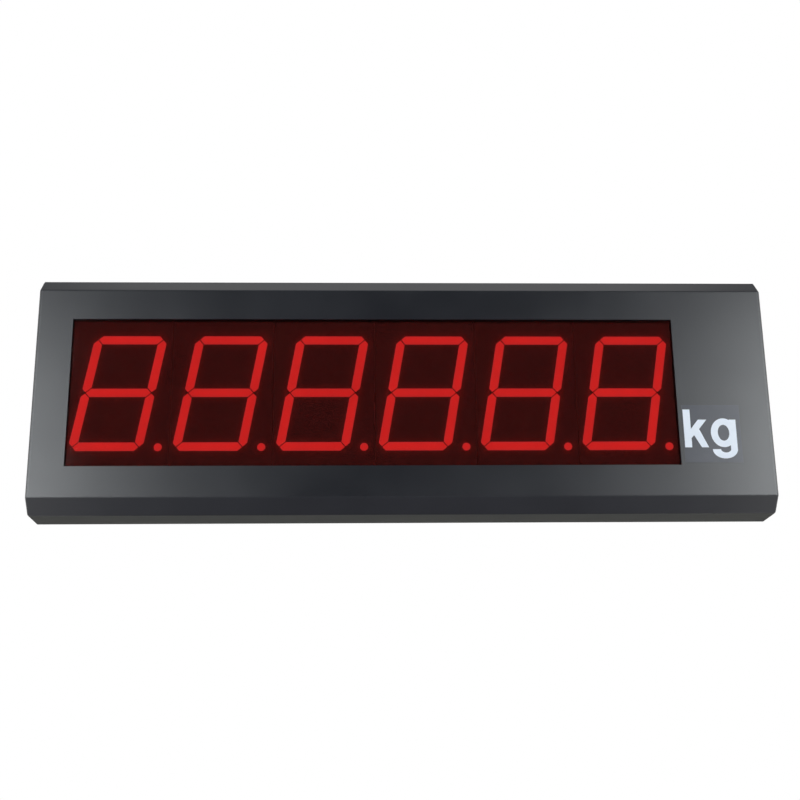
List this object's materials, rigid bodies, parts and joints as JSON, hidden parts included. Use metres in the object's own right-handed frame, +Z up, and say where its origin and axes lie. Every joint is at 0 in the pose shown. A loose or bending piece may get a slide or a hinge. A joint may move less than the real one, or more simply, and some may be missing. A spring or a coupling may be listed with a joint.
{
  "type": "scale remote display",
  "caption": "Wide wall-mounted weighing display: slanted seven-segment digits behind a red window in a shallow black case with a unit mark, rear mains inlet, rocker switch and two hangers.",
  "frame": {"origin": "middle of the case's bottom wall, on the surface that the case stands on", "axes": "+X along the case to the viewer's right, +Y from the front face to the back panel, +Z up"},
  "size_m": [0.75, 0.0814, 0.25],
  "materials": {
    "case_black": "satin black paint",
    "panel_black": "matt black paint",
    "hanger_black": "matt black paint",
    "screw_steel": "zinc plated",
    "red_acrylic": "polished red acrylic",
    "tape_black": "foam tape",
    "digit_black": "fine matt",
    "segment_red": "frosted light guide",
    "board_green": "solder mask",
    "board_brown": "bare laminate",
    "tinned_steel": "tinned",
    "chip_black": "moulded",
    "header_cream": "moulded",
    "standoff_brass": "turned",
    "supply_aluminium": "mill finish sheet",
    "supply_yellow": "wound and taped",
    "moulded_black": "moulded",
    "fuse_glass": "glass tube with metal caps",
    "rocker_red": "moulded",
    "socket_metal": "nickel plated",
    "contact_gold": "gold plated",
    "wire_blue": "insulated wire",
    "ribbon_grey": "ribbon cable",
    "label_film": "clear film on black",
    "letter_white": "cut white film"
  },
  "bodies": {
    "case": {"front_shell": "case_black", "left_end_plate": "case_black", "right_end_plate": "case_black", "end_plate_screws": "screw_steel", "back_panel": "panel_black", "back_panel_screws": "screw_steel", "window_pane": "red_acrylic", "window_tape": "tape_black", "digit_1_housing": "digit_black", "digit_2_housing": "digit_black", "digit_3_housing": "digit_black", "digit_4_housing": "digit_black", "digit_5_housing": "digit_black", "digit_6_housing": "digit_black", "digit_1_segments": "segment_red", "digit_2_segments": "segment_red", "digit_3_segments": "segment_red", "digit_4_segments": "segment_red", "digit_5_segments": "segment_red", "digit_6_segments": "segment_red", "display_board_left": "board_green", "display_board_right": "board_green", "digit_pins": "tinned_steel", "driver_chips": "chip_black", "display_headers": "header_cream", "board_standoffs": "standoff_brass", "board_screws": "screw_steel", "standoff_screws": "screw_steel", "control_board": "board_green", "control_chips": "chip_black", "control_headers": "header_cream", "control_spacers": "standoff_brass", "control_screws": "screw_steel", "supply_base": "supply_aluminium", "supply_cover": "supply_aluminium", "supply_board": "board_brown", "supply_parts": "supply_yellow", "terminal_block": "moulded_black", "terminal_screws": "screw_steel", "supply_screws": "screw_steel", "inlet_body": "moulded_black", "inlet_blades": "tinned_steel", "inlet_fixings": "screw_steel", "switch_frame": "moulded_black", "rocker_pin": "screw_steel", "switch_tabs": "tinned_steel", "signal_socket_shell": "socket_metal", "signal_socket_insert": "moulded_black", "signal_socket_pins": "contact_gold", "signal_socket_nut": "socket_metal", "hanger_left": "hanger_black", "hanger_right": "hanger_black", "hanger_fixings": "screw_steel", "inner_wires": "wire_blue", "ribbon_cables": "ribbon_grey", "unit_label": "label_film", "unit_letters": "letter_white"},
    "drawer": {"fuse_drawer": "moulded_black", "fuses": "fuse_glass"},
    "rocker": {"power_rocker": "rocker_red"}
  },
  "joints": [
    {"name": "rocker_tilt", "type": "hinge", "parent": "case", "child": "rocker", "pos_m": [-0.29, 0.0265, 0.14], "axis": [1, 0, 0], "range_deg": [-20, 0]},
    {"name": "drawer_slide", "type": "slide", "parent": "case", "child": "drawer", "axis": [0, 1, 0], "range_m": [0, 0.018]}
  ]
}
